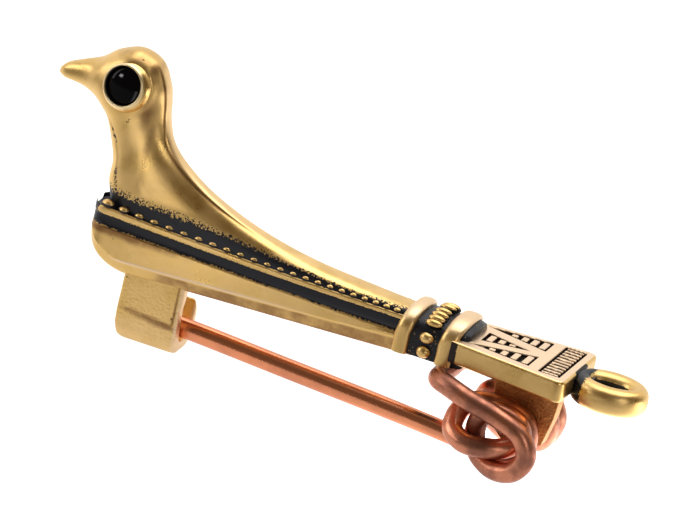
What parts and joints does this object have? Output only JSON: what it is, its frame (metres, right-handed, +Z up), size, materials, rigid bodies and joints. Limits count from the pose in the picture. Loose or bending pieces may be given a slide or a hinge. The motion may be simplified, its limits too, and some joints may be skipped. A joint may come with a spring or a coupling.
{
  "type": "roman fibula brooch",
  "caption": "Small cast brass dress brooch: a dove on a narrow boat-shaped bow with an engraved foot plate, a hanging loop, and a coiled copper spring pin that hooks into a catch.",
  "frame": {"origin": "centre of the whole box in plan, at the level the catch and the coils stand on", "axes": "+X from the beak to the tail loop, +Y from the pin's spring side to the catch's open side, +Z up from the pin to the bird's crown"},
  "size_m": [0.048, 0.0096, 0.0214],
  "materials": {
    "cast_brass": "satin, blackened in the recesses",
    "black_eye": "gloss",
    "copper_wire": "satin, drawn"
  },
  "bodies": {
    "brooch": {"brooch_body": "cast_brass", "eye_left": "black_eye", "eye_right": "black_eye", "spring_wire": "copper_wire"},
    "pin": {"pin_wire": "copper_wire"}
  },
  "joints": [
    {"name": "pin_spring", "type": "hinge", "parent": "brooch", "child": "pin", "pos_m": [0.01257, -0.00072, 0.0011], "axis": [0.0727, 0.9247, -0.3736], "range_deg": [0, 8.5], "stiffness_Nm_per_rad": 0.02, "springref_deg": -11.46}
  ]
}
